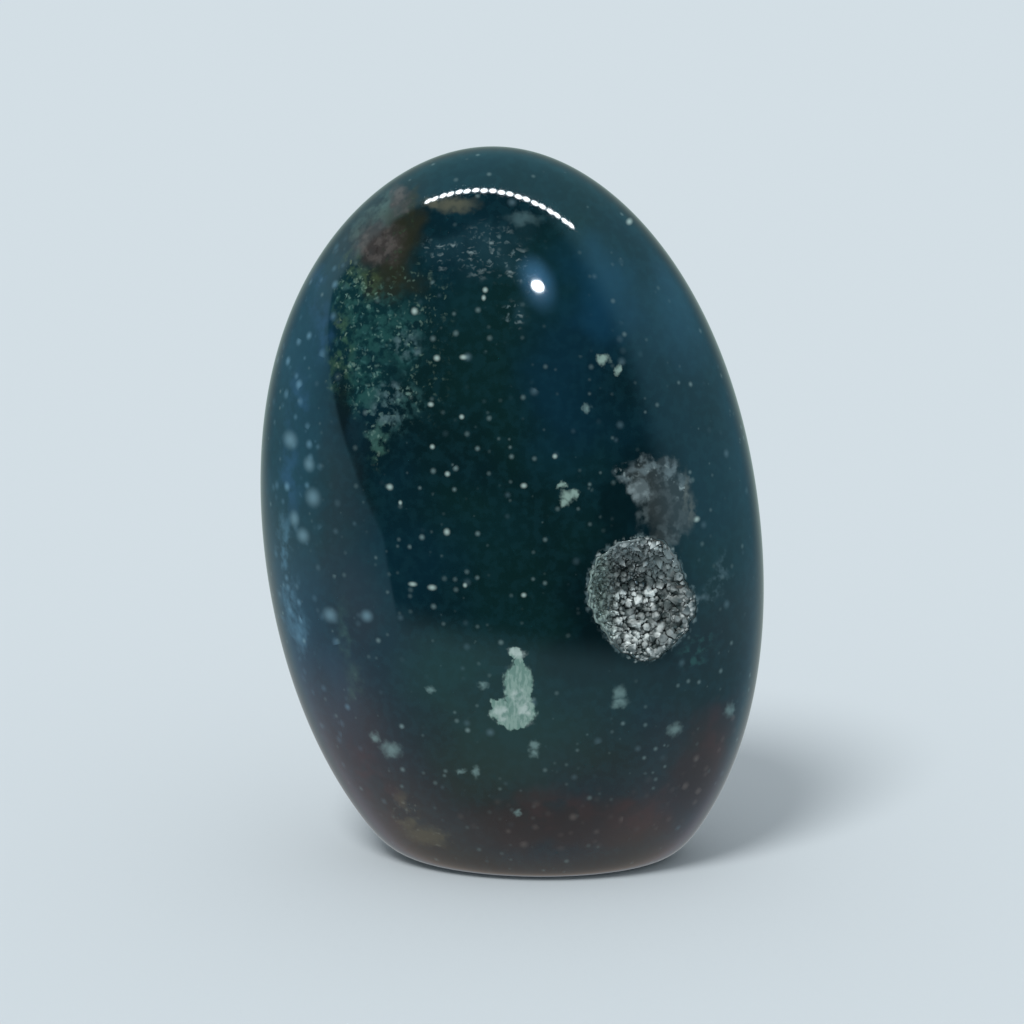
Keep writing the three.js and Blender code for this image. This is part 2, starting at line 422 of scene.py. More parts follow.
def crystal_layer(tree, size, kind, wall, below, growth, mouthward):
    """Crystals of one kind on the wall, where below is true, and as much larger as growth says."""
    steps = range(FIRST_SEEDS[kind], FIRST_SEEDS[kind] + 5)
    seeds = [add(tree, MATH, size["Seed"], float(step), operation="ADD") for step in steps]
    spacing = {"Distance Min": size[f"{kind} spacing"], "Density Max": POINT_DENSITY}
    scattered = add(
        tree, "GeometryNodeDistributePointsOnFaces", wall,
        sockets={"Selection": below, "Seed": seeds[0], **spacing}, distribute_method="POISSON",
    ).node.outputs
    lean = add(
        tree, RANDOM, (-LEAN, -LEAN, -LEAN), (LEAN, LEAN, LEAN),
        sockets={"Seed": seeds[1]}, data_type="FLOAT_VECTOR",
    )
    aim = add(tree, VECTOR_MATH, mouthward, scattered["Normal"], **MINUS)
    aim = add(tree, VECTOR_MATH, aim, lean, operation="ADD")
    stand = add(tree, "FunctionNodeAlignRotationToVector", None, 1.0, aim, axis="Z")
    spin, chance, slender, tone = (
        add(tree, RANDOM, sockets={2: low, 3: high, "Seed": seed}, data_type="FLOAT", output=1)
        for (low, high), seed in zip((SPIN, RADIUS_SHARE, LENGTH_SHARE, TONE), seeds[1:])
    )
    spin = add(tree, "FunctionNodeEulerToRotation", add(tree, "ShaderNodeCombineXYZ", 0.0, 0.0, spin))
    stand = add(tree, "FunctionNodeRotateRotation", stand, spin, rotation_space="LOCAL")
    radius = add(tree, MATH, growth, chance, **TIMES)
    radius = add(tree, MATH, radius, size[f"{kind} radius"], **TIMES)
    length = add(tree, MATH, radius, slender, **TIMES)
    scale = add(tree, "ShaderNodeCombineXYZ", radius, radius, length)
    crystals = add(
        tree, "GeometryNodeInstanceOnPoints", scattered["Points"],
        sockets={"Instance": quartz_point(tree), "Rotation": stand, "Scale": scale},
    )
    tone = {"Name": "tone", "Value": tone}
    return add(tree, STORE, crystals, sockets=tone, data_type="FLOAT", domain="INSTANCE")


# %% Build the crust
# The wall on the left of the pocket has smaller crystals than the foot on its right. They grow along this
# direction of the pocket's frame, between these two distances from its middle.
SMALL_TO_LARGE = (0.6, 1.2)
GROWTH_DIRECTION = (1, -0.5, 0)
GROWTH_REACH = (-7 * MM, 6 * MM)


def crust_tree(finish):
    tree, size = start_tree("Quartz crust", CRUST)
    mark = add(tree, "GeometryNodeObjectInfo", size["Pocket mark"]).node.outputs
    out = add(tree, "FunctionNodeRotateVector", (0, 0, 1), mark["Rotation"])
    bowl, wall = bowl_and_wall(tree, size, out)

    place = add(tree, "GeometryNodeInputPosition")
    height, _ = height_over_skin(tree, size, place)
    below = add(tree, "FunctionNodeCompare", height, -ROOT_DEPTH, operation="LESS_THAN")
    across = add(tree, VECTOR_MATH, place, mark["Location"], **MINUS)
    along = add(tree, "FunctionNodeRotateVector", GROWTH_DIRECTION, mark["Rotation"])
    across = add(tree, VECTOR_MATH, across, along, **DOT)
    growth = add(tree, MAP_RANGE, across, *GROWTH_REACH, *SMALL_TO_LARGE)
    mouthward = add(tree, VECTOR_MATH, out, sockets={"Scale": MOUTHWARD}, operation="SCALE")
    layers = [crystal_layer(tree, size, kind, wall, below, growth, mouthward) for kind in FIRST_SEEDS]
    grown = add(tree, "GeometryNodeRealizeInstances", add(tree, "GeometryNodeJoinGeometry", layers))

    crust = add(tree, "GeometryNodeJoinGeometry", [under_polish(tree, size, grown), bowl])
    crust = add(tree, "GeometryNodeRealizeInstances", crust)
    add(tree, "NodeGroupOutput", add(tree, "GeometryNodeSetMaterial", crust, sockets={"Material": finish}))
    return tree


# %% [markdown]
# Colours
#
# The colours are written as the sRGB hex values that a paint program shows. Shaders calculate in linear
# light, so one function turns a hex value into that.

# %% Turn a hex value into a linear colour, and start a material
def colour(code):
    channels = [int(code[start:start + 2], 16) / 255 for start in (0, 2, 4)]
    linear = [c / 12.92 if c <= 0.04045 else ((c + 0.055) / 1.055) ** 2.4 for c in channels]
    return (*linear, 1.0)


def start_material(name):
    """A new material with an empty node tree. Returns both."""
    finish = bpy.data.materials.new(name)
    finish.use_nodes = True
    finish.node_tree.nodes.clear()
    return finish, finish.node_tree


# %% [markdown]
# The stone's pattern
#
# Bloodstone is chalcedony, a quartz so fine-grained that it shows no crystals. Clouds of other minerals
# colour it: chlorite and hornblende make it green to black, fibres too fine to see scatter blue light, iron
# oxide leaves red and brown stains, and grains of clear quartz show as pale specks. The pattern goes right
# through the stone, so every mark here is a small cloud in space that the skin happens to cut. The painted
# shade around the pocket and over its rim is laid on in the same way. The pattern is measured in millimetres
# on Object coordinates, and coordinates that waver give the clouds their ragged edges.

# %% Masks for marks and specks
SMOOTH = {"interpolation_type": "SMOOTHSTEP"}
MARK_DEPTH = 4.0


def reach_of(tree, place, outlines, depth=MARK_DEPTH):
    """How far out a place lies in the nearest of the outlines: 0 in its middle, 1 on its edge."""
    nearest = None
    for across, height, half_width, half_height in outlines:
        offset = add(tree, VECTOR_MATH, place, on_front(across, height)[0] / MM, **MINUS)
        flatten = (1 / half_width, 1 / depth, 1 / half_height)
        scaled = add(tree, VECTOR_MATH, offset, flatten, **TIMES)
        reach = add(tree, VECTOR_MATH, scaled, operation="LENGTH", output="Value")
        nearest = add(tree, MATH, nearest, reach, operation="MINIMUM") if nearest else reach
    return nearest


def marks(tree, reach, softness):
    """A mask that is 1 inside the outlines, and fades out over the softness at their edges."""
    return add(tree, MAP_RANGE, reach, 1 + softness, 1 - softness, **SMOOTH)


def specks(tree, place, spacing, radius, softness, share):
    """Round grains in space, at random places and of random sizes up to the radius, in millimetres."""
    cells = add(tree, VORONOI, place, sockets={"Scale": 1 / spacing}).node.outputs
    chance = add(tree, "ShaderNodeSeparateColor", cells["Color"])
    size = add(tree, MAP_RANGE, chance, 1 - share, 1.0, 0.0, radius / spacing)
    inside = add(tree, MATH, size, cells["Distance"], **MINUS)
    return add(tree, MAP_RANGE, inside, 0.0, softness / spacing, **SMOOTH)


# %% [markdown]
# Where the marks are
#
# Each mark is its middle across and its height, its half width and its half height, in millimetres, as seen
# from the front. They were placed against the real stone.

# %% Places of the marks
PLACES = {
    # Places of the broad, soft clouds, and of the painted shade around the pocket
    "blue side": [
        (-28.5, 72, 4, 11), (-29.4, 56, 3.6, 12), (-28.6, 40, 3.6, 9), (-25, 82, 3, 5), (-24, 27, 3, 7),
    ],
    "blue shoulder": [(22.5, 78, 4, 8)],
    "blue middle": [(6, 70, 5, 10), (10.5, 82, 5, 7)],
    "blue glow": [(12.6, 82, 4.2, 8)],
    "green foot": [(-2, 21, 10, 7), (-9, 31, 6, 5)],
    "mauve side": [(-23.6, 53, 3.2, 11), (-21.5, 42, 3, 7), (-21.5, 22, 4, 7)],
    "brown foot": [(4, 9, 10, 4), (16, 10, 10, 4), (26, 15, 5, 6), (28, 22, 4, 4)],
    "red stains": [
        (-20.5, 15, 2.5, 5), (-16.5, 10, 2, 4), (28, 20, 2, 5), (6, 12, 6, 2.5), (18, 11, 5, 2.5),
    ],
    # Painted shade: dark around the pocket, above it beside the quartz patch, and below it
    "pocket shade": [(17, 40.9, 10.4, 10.6), (18.8, 56, 7, 6.5), (13.8, 54, 2.8, 4), (9.5, 33.4, 6, 3.4)],
    # Places of the clouds at the upper left
    "olive cloud": [(-15.1, 88.5, 2.2, 6), (-16.4, 84, 3.2, 2.4), (-13.8, 92.5, 1.1, 2.6)],
    "olive edge": [(-21.5, 83, 1.4, 3.4), (-22.6, 78.5, 1, 2.6), (-19.5, 82.5, 1.8, 1.8)],
    "mauve cloud": [(-17.9, 87.8, 3.3, 2.6), (-15.3, 93.6, 1.2, 1.7)],
    "pale streak": [(-17.6, 92, 1.8, 2.4), (-20.4, 88, 1, 3)],
    "moss cloud": [(-19, 77, 5, 5.4), (-14.4, 76, 2.6, 4), (-21.6, 80.5, 2.2, 4), (-20, 70.5, 3.2, 4)],
    "moss outskirts": [(-11, 79, 3.6, 5), (-13, 82, 3, 3), (-12, 71, 3, 5)],
    "yellow edge": [(-23.2, 71.5, 1.6, 3.2), (-22.6, 75, 1.1, 2.4), (-17.9, 62.2, 1.1, 2.8)],
    "teal cloud": [(-16.6, 66.6, 3, 2.6), (-14.4, 68.2, 2.4, 1.8), (-18, 63.4, 1.4, 3)],
    "dark gap": [(-22.8, 66.5, 1.2, 4.5)],
    "grey puff": [(-13.8, 75.2, 1.6, 1.3), (-16.2, 69, 1.6, 1.2), (-16.8, 66, 1.8, 1.4)],
    "blue streaks": [(-26.6, 81, 0.9, 2.8), (-25.6, 76, 1.1, 3), (-29.2, 66, 1.1, 3.4), (-30.2, 56, 1.2, 4)],
    "pale side": [(-30.4, 38.5, 1, 4), (-29.2, 34.5, 1, 2.6), (-31, 46, 0.8, 4)],
    "tan streak": [(-7.9, 93.1, 2.5, 0.8), (-10.5, 93.2, 1, 0.6)],
    "tan trace": [(1.5, 91.3, 1.8, 0.7)],
    "scratches": [(-3.4, 87.4, 4, 2.6), (-0.2, 85.6, 2.6, 1.8), (0.2, 79.4, 1.2, 1.6), (-9, 87, 2.4, 1.6)],
    "tan foot": [(-12, 6.4, 3.2, 1.5), (-14.6, 9.6, 1.6, 3)],
    # Places of the quartz patch, the pale patch and the wisps
    "quartz patch": [
        (18.2, 57.8, 3, 2.2), (20, 59, 2, 1.2), (20.6, 54.2, 3.4, 3.8), (22.4, 52.2, 2, 2.4),
        (20.2, 49.6, 2, 1.4),
    ],
    "quartz cap": [(18.4, 59.2, 2.6, 0.9), (21, 58.2, 0.9, 1.6), (15.1, 58.2, 1.2, 1), (22.6, 56, 0.7, 1.6)],
    "quartz lobes": [(17, 56, 1.3, 1.5), (16, 56.4, 0.8, 0.8)],
    "quartz foot": [(20.8, 49.8, 1.7, 1.2), (17.4, 52.6, 1, 1.4)],
    "quartz edge": [(23.2, 55.4, 0.3, 2), (24.1, 52.6, 0.3, 1.6)],
    "pale patch": [
        (0.8, 29.8, 1.9, 3.4), (1.1, 26.4, 2, 1.9), (-1.2, 26.3, 1.7, 1.6), (-2, 27.4, 0.9, 0.7),
        (0.9, 33, 0.8, 1.3), (0.4, 34.6, 0.9, 0.5), (0.9, 24.6, 0.9, 0.9), (-0.2, 25, 1.7, 1.1),
    ],
    "pale white": [(-1.4, 26, 1.2, 1.2), (0.6, 34.6, 1, 0.5), (1.8, 26.2, 1.1, 1.5), (0.4, 28.4, 1.2, 1)],
    # Painted shade over the pocket's lower left rim
    "rim shade": [(10.7, 37, 1.3, 2.6), (12.5, 34.4, 1.4, 1.4)],
    "wisps": [(26.2, 40.8, 2, 0.6), (28, 42.6, 1.4, 0.8), (28.4, 44.4, 0.8, 1.2)],
    "green side": [(-22.6, 36, 0.8, 3), (-21.6, 28.5, 0.9, 2.2)],
    "green wisps": [(25, 33.6, 2, 0.5), (25.6, 35, 1.6, 0.45), (24.6, 32, 1.4, 0.5)],
    # Places of single flecks
    "flecks": [
        (-16.3, 56.5, 0.31, 0.3), (-14.9, 54.5, 0.18, 0.22), (-8.6, 58.6, 0.25, 0.25),
        (-8.7, 50.9, 0.3, 0.33), (-3.6, 82.4, 0.25, 0.25), (-3.8, 81.4, 0.2, 0.25),
        (-13.3, 43.6, 0.4, 0.23), (-10.7, 43.3, 0.41, 0.28),
        (-10.6, 62.1, 0.23, 0.23), (-6.7, 66.1, 0.23, 0.23), (-10, 73.6, 0.3, 0.28), (-6.5, 73.8, 0.33, 0.23),
        (1.5, 57.2, 0.3, 0.25), (-6.3, 43.8, 0.2, 0.23), (1.5, 42.6, 0.25, 0.23), (24.7, 51.5, 0.33, 0.28),
        (15.8, 90.3, 0.33, 0.28), (-10.8, 67.6, 0.28, 0.23), (-13, 79.5, 0.3, 0.33), (5.6, 61, 0.23, 0.23),
    ],
    "clusters": [
        (12, 73.3, 0.74, 0.57), (14.2, 71.9, 0.41, 0.57), (7.3, 55.8, 0.82, 0.66), (6.5, 57.2, 0.49, 0.37),
        (6.8, 54.9, 0.57, 0.41), (8.2, 56, 0.49, 0.57),
    ],
    "soft flecks": [
        (14.4, 28.6, 0.65, 0.81), (14.4, 27.2, 0.81, 0.49), (22.1, 22.5, 0.73, 0.65),
        (29.9, 23.8, 0.57, 0.81),
        (-16.5, 19.5, 0.99, 0.89), (-18.7, 21, 0.57, 0.57), (3, 21.5, 0.57, 0.49), (2.9, 20.4, 0.49, 0.49),
        (-5, 17.3, 0.41, 0.65), (-11, 29, 0.41, 0.41), (-7, 17.2, 0.57, 0.32),
        (0.8, 11.3, 0.4, 0.4), (-4, 30, 0.49, 0.41), (9.9, 67.1, 0.41, 0.41),
    ],
    "side flecks": [
        (-26.9, 54, 0.75, 0.9), (-30.1, 61.2, 0.75, 0.85), (-28.4, 48.5, 0.65, 0.75), (-24.7, 38, 0.75, 0.75),
        (-19.6, 38.6, 0.6, 0.6), (-27.4, 58.4, 0.55, 0.7), (-29.6, 50.6, 0.5, 0.8),
    ],
}
print(len(PLACES), "marks, of", sum(map(len, PLACES.values())), "outlines")

# %% [markdown]
# The layers
#
# The pattern is painted from the deepest layer to the top one. Each layer says its colour, how strongly it
# covers, where it lies, how its edge wavers, how soft the edge is, and which grain breaks it up.

# %% The layers of the pattern
EVERYWHERE = None
LAYERS = [
    ("0b2935", 0.65, EVERYWHERE, None, 0, "clouds"),
    ("0e2a27", 0.50, EVERYWHERE, None, 0, "green clouds"),
    ("163840", 0.25, EVERYWHERE, None, 0, "moss"),
    ("0f3447", 0.45, "blue middle", "loose", 0.8, None),
    ("17415a", 0.45, "blue glow", "loose", 0.9, None),
    ("1b4355", 0.35, "blue side", "loose", 0.8, None),
    ("2c5872", 0.24, "blue shoulder", "loose", 0.9, None),
    ("2a272e", 0.30, "mauve side", "loose", 0.9, None),
    ("153b37", 0.35, "green foot", "loose", 0.6, None),
    ("86a0a0", 0.70, EVERYWHERE, None, 0, "small specks"),
    ("6d8b96", 0.40, EVERYWHERE, None, 0, "large specks"),
    ("282223", 0.75, "brown foot", "loose", 0.5, None),
    ("40292a", 0.35, "red stains", "loose", 0.6, "patches"),
    ("4c4c3d", 0.70, "tan foot", "ragged", 0.6, "patches"),
    ("7a8078", 0.50, "tan foot", "ragged", 0.6, "coarse grains"),
    ("55706a", 0.55, "pale streak", "ragged", 0.9, "patches"),
    ("3c5a50", 0.45, "green side", "ragged", 0.9, "patches"),
    ("27291e", 0.85, "olive cloud", "loose", 0.6, None),
    ("3b3735", 0.85, "mauve cloud", "ragged", 0.6, None),
    ("56524f", 0.55, "mauve cloud", "ragged", 0.5, "moss"),
    ("241f20", 0.65, "mauve cloud", "ragged", 0.6, "fine grains"),
    ("35503a", 0.40, "olive cloud", "ragged", 0.5, "fine grains"),
    ("4c5c3c", 0.70, "olive edge", "ragged", 0.6, "moss"),
    ("73805c", 0.60, "olive edge", "ragged", 0.5, "fine grains"),
    ("0e2d30", 0.80, "moss cloud", "loose", 0.6, None),
    ("27504d", 0.60, "moss cloud", "ragged", 0.5, "moss"),
    ("3c6668", 0.50, "moss cloud", "loose", 0.5, "coarse grains"),
    ("75998f", 0.50, "moss cloud", "ragged", 0.6, "fine grains"),
    ("5c7266", 0.55, "moss outskirts", "loose", 0.6, "fine grains"),
    ("3c5840", 0.50, "yellow edge", "ragged", 0.6, "moss"),
    ("80917c", 0.40, "yellow edge", "ragged", 0.5, "fine grains"),
    ("365a58", 0.65, "teal cloud", "ragged", 0.6, "moss"),
    ("6c8a83", 0.60, "teal cloud", "ragged", 0.5, "fine grains"),
    ("0c1719", 0.75, "dark gap", "ragged", 0.6, None),
    ("53686e", 0.75, "grey puff", "ragged", 0.7, "moss"),
    ("33587c", 0.34, "blue streaks", "ragged", 1.0, "patches"),
    ("5d8aa0", 0.45, "pale side", "ragged", 1.0, "patches"),
    ("585a4c", 0.75, "tan streak", "rough", 0.8, None),
    ("4a6468", 0.65, "tan trace", "ragged", 0.9, None),
    ("223f48", 0.50, "scratches", "loose", 0.9, None),
    ("8fa2a3", 0.80, "scratches", "ragged", 0.7, "dashes"),
    ("6b8184", 0.55, "scratches", "ragged", 0.7, "fine grains"),
    ("7aa6bc", 0.50, "blue side", "loose", 0.9, "side specks"),
    ("7c746f", 0.45, "brown foot", "loose", 0.8, "side specks"),
    ("a6bcb6", 0.85, "flecks", "even", 1.0, None),
    ("8aa49b", 0.85, "clusters", "rough", 0.6, None),
    ("7d9a98", 0.60, "soft flecks", "rough", 1.0, None),
    ("6f909c", 0.60, "side flecks", "even", 1.0, None),
    # Painted shade around and below the pocket
    ("05161a", 0.70, "pocket shade", "ragged", 0.35, None),
    ("55676a", 0.90, EVERYWHERE, None, 0, "rim"),
    ("a4b2b0", 0.80, EVERYWHERE, None, 0, "rim grains"),
    # Painted shade over the rim's pale line at the pocket's lower left
    ("07171a", 0.80, "rim shade", "ragged", 0.5, None),
    ("5a7078", 0.45, "wisps", "ragged", 0.9, "moss"),
    ("31605a", 0.45, "green wisps", "rough", 0.9, "moss"),
    ("323a3b", 0.90, "quartz patch", "ragged", 0.35, None),
    ("4a5456", 0.60, "quartz patch", "ragged", 0.4, "moss"),
    ("66767a", 0.80, "quartz cap", "ragged", 0.8, "moss"),
    ("93a2a2", 0.75, "quartz cap", "ragged", 0.9, "fine grains"),
    ("576466", 0.90, "quartz lobes", "rough", 0.3, None),
    ("7c8b8d", 0.75, "quartz lobes", "rough", 0.4, "moss"),
    ("4f5c5e", 0.70, "quartz foot", "ragged", 0.7, "moss"),
    ("626863", 0.50, "quartz edge", "rough", 0.9, None),
    ("66877d", 1.00, "pale patch", "rough", 0.12, None),
    ("88a298", 0.80, "pale patch", "rough", 0.2, "fibres"),
    ("b4c3be", 0.75, "pale white", "rough", 0.6, "moss"),
]
DEEPEST = "081c20"
print(len(LAYERS), "layers")


# %% Paint the pattern
def wavering(tree, place, size, amount):
    """Coordinates that noise of the given size pushes around by up to about half the amount."""
    push = add(tree, NOISE, place, sockets={"Scale": 1 / size, "Detail": 3.0}, output="Color")
    push = add(tree, VECTOR_MATH, push, 3 * (NOISE_MIDDLE,), **MINUS)
    push = add(tree, VECTOR_MATH, push, sockets={"Scale": amount}, operation="SCALE")
    return add(tree, VECTOR_MATH, place, push, operation="ADD")


def beyond_rim(tree, place):
    """How far a place lies outside the pocket's rim, in millimetres."""
    offset = add(tree, VECTOR_MATH, place, pocket_point / MM, **MINUS)
    along = add(tree, VECTOR_MATH, offset, pocket_along, **DOT)
    up = add(tree, VECTOR_MATH, offset, pocket_up, **DOT)
    radius = rim_radius(tree, along, up, POCKET["Pocket radius"] / MM, MM)
    away = add(tree, VECTOR_MATH, offset, operation="LENGTH", output="Value")
    return add(tree, MATH, away, radius, **MINUS)


# Noise at these sizes, in millimetres, is cut between two thresholds: below the first nothing shows.
CLOUD_NOISE = {"Scale": 1 / 24, "Detail": 3.0}
PATCH_NOISE = {"Scale": 1 / 4, "Detail": 4.0}
MOSS_NOISE = {"Scale": 1 / 1.3, "Detail": 4.0}
FIBRE_NOISE = {"Scale": 1.0, "Detail": 3.0}
CLOUDS, GREEN_CLOUDS = (0.4, 0.62), (0.45, 0.65)
PATCHES, MOSS, FIBRES = (0.4, 0.56), (0.42, 0.64), (0.42, 0.6)
# Small specks crowd together where a noise is high, and the rim's pale line fades out over these
# millimetres.
CROWDING = (0.35, 0.6, 0.2, 1.0)
RIM_LINE = (0.5, 0.1)
# Coordinates are squeezed across the long way of fibres and dashes.
FIBRE_SQUEEZE = (2.4, 2.4, 0.8)
DASH_SQUEEZE = (0.5, 0.5, 1.2)
# Specks by kind: their spacing, largest radius and softness in millimetres, and the share of places with one
SPECKS = {
    "small specks": (1.5, 0.6, 0.7, 0.6),
    "large specks": (2.9, 0.9, 1.1, 0.7),
    "side specks": (1.7, 1.0, 1.0, 0.9),
    "coarse grains": (0.9, 0.65, 0.6, 0.7),
    "fine grains": (0.6, 0.45, 0.42, 0.7),
    "dashes": (0.65, 0.5, 0.5, 0.8),
}


def grains_of_stone(tree, place, ragged, rough):
    """The grains that break up the layers, by name."""
    broad = add(tree, NOISE, place, sockets=CLOUD_NOISE, output="Color")
    blue, green, crowd = add(tree, "ShaderNodeSeparateColor", broad).node.outputs
    patchy = add(tree, NOISE, place, sockets=PATCH_NOISE)
    mossy = add(tree, NOISE, place, sockets=MOSS_NOISE)
    stretched = add(tree, VECTOR_MATH, place, FIBRE_SQUEEZE, **TIMES)
    fibrous = add(tree, NOISE, stretched, sockets=FIBRE_NOISE)
    flattened = add(tree, VECTOR_MATH, rough, DASH_SQUEEZE, **TIMES)
    where = dict(zip(SPECKS, (place, place, place, ragged, rough, flattened)))
    grains = {kind: specks(tree, where[kind], *form) for kind, form in SPECKS.items()}
    crowd = add(tree, MAP_RANGE, crowd, *CROWDING)
    grains["small specks"] = add(tree, MATH, grains["small specks"], crowd, **TIMES)
    mossy = add(tree, MAP_RANGE, mossy, *MOSS, **SMOOTH)
    rim = add(tree, MAP_RANGE, beyond_rim(tree, rough), *RIM_LINE, **SMOOTH)
    return {
        **grains,
        "rim": add(tree, MATH, rim, mossy, **TIMES),
        "rim grains": add(tree, MATH, rim, grains["fine grains"], **TIMES),
        "clouds": add(tree, MAP_RANGE, blue, *CLOUDS, **SMOOTH),
        "green clouds": add(tree, MAP_RANGE, green, *GREEN_CLOUDS, **SMOOTH),
        "patches": add(tree, MAP_RANGE, patchy, *PATCHES, **SMOOTH),
        "moss": mossy,
        "fibres": add(tree, MAP_RANGE, fibrous, *FIBRES, **SMOOTH),
    }


def pattern(tree, place, edges):
    """The stone's colour at a place, in millimetres."""
    grains = grains_of_stone(tree, place, edges["ragged"], edges["rough"])
    painted = colour(DEEPEST)
    reaches = {}
    for code, strength, name, edge, softness, grain in LAYERS:
        cover = strength
        if name:
            if (name, edge) not in reaches:
                reaches[name, edge] = reach_of(tree, edges[edge], PLACES[name])
            inside = marks(tree, reaches[name, edge], softness)
            cover = add(tree, MATH, inside, cover, **TIMES)
        if grain:
            cover = add(tree, MATH, grains[grain], cover, **TIMES)
        blend = {0: cover, 6: painted, 7: colour(code)}
        painted = add(tree, MIX, sockets=blend, **COLOURS)
    return painted


# %% [markdown]
# The stone's finish: polished chalcedony
#
# Polished, the stone shines like glass: quartz has a refractive index of 1.54, and the polish leaves hardly
# any roughness. The pale patch and the quartz patch are softer or coarser than the rest and polish less
# well.

# %% Polished chalcedony
# How the edges of marks waver: the size of the noise and how far it pushes, in millimetres
EDGES = {"loose": (6.0, 9.0), "ragged": (1.6, 3.0), "rough": (0.9, 1.6)}
DULL_EDGE = 0.2
POLISHED_TO_DULL = (0.05, 0.35)
CHALCEDONY_IOR = 1.54


def polished_chalcedony():
    finish, tree = start_material("polished chalcedony")
    metres = add(tree, "ShaderNodeTexCoord", output="Object")
    place = add(tree, VECTOR_MATH, metres, sockets={"Scale": 1 / MM}, operation="SCALE")
    edges = {name: wavering(tree, place, *form) for name, form in EDGES.items()}
    edges["even"] = place
    softer = reach_of(tree, edges["rough"], PLACES["pale patch"] + PLACES["quartz lobes"])
    dull = marks(tree, softer, DULL_EDGE)
    sockets = {
        "Base Color": pattern(tree, place, edges),
        "Roughness": add(tree, MAP_RANGE, dull, 0.0, 1.0, *POLISHED_TO_DULL),
        "IOR": CHALCEDONY_IOR,
    }
    add(tree, "ShaderNodeOutputMaterial", add(tree, "ShaderNodeBsdfPrincipled", sockets=sockets))
    return finish


# %% [markdown]
# The crust's finish: drusy quartz
#
# Small quartz crystals are clear to milky. Each one has its own tone, drawn at random when it was placed,
# and painted shade makes it darker at its root, where little light gets in, so bright tips stand beside dark
# gaps as in the real crust. Each facet is painted lighter or darker at random, and painted light brightens
# the pocket's top wall, which lies in shade.

# %% Drusy quartz
POCKET_REACH = 40.0
# Clumps where the crystals are painted brighter; on the pocket's top wall, which lies in shade, this is
# painted light
BRIGHT_AND_LIT_CLUMPS = [
    (17.2, 41.2, 3.2, 1.2), (15.2, 48.8, 3.8, 2.6), (15.6, 36.2, 3.6, 2.8), (23.6, 39.6, 0.8, 1.2),
]
BRIGHT_AND_LIT_EDGE = 0.6
DIM_TO_BRIGHT = (0.6, 2.0)
# A smooth grey clump of crystals, and a pale grey painted as light on the pocket's top wall, which lies in
# shade
SMOOTH_AND_LIT_CLUMPS = [(20, 45.8, 2.4, 2.6), (15, 48.3, 2.6, 2.2)]
SMOOTH_AND_LIT_EDGE = 0.5
SMOOTH_AND_LIT_COVER = 0.75
CRUST_WAVER = (1.6, 2.0)
CLUMP_NOISE = {"Scale": 1 / 1.4, "Detail": 2.0}
CLUMP_TONES = (0.36, 0.62, 0.3, 1.25)
# Painted shade: a crystal is painted in the clear colour at its root and turns milky between these shares of
# its length.
SHADED_ROOT_TO_TIP = (0.1, 0.7)
# Only the bowl has no tone of its own. Cut grains show on it, in the sizes that specks takes.
BOWL_TONE = 0.01
CUT_GRAINS = (0.6, 0.5, 0.3, 0.9)
CUT_GRAIN_TONE = 0.5
# Growth lines band the left wall, which begins between these two places across.
GROWTH_LINE = 0.55
LINE_TONES = (0.18, 0.52)
LEFT_WALL = (15 * MM, 11.5 * MM)
CLEAR_AND_SHADED, MILKY, MILKY_LEFT, SMOOTH_AND_LIT_GREY = "2f3c3c", "dde5e3", "b4cdc5", "7c8a8b"
CRYSTAL_ROUGHNESS = 0.18
QUARTZ_IOR = 1.544


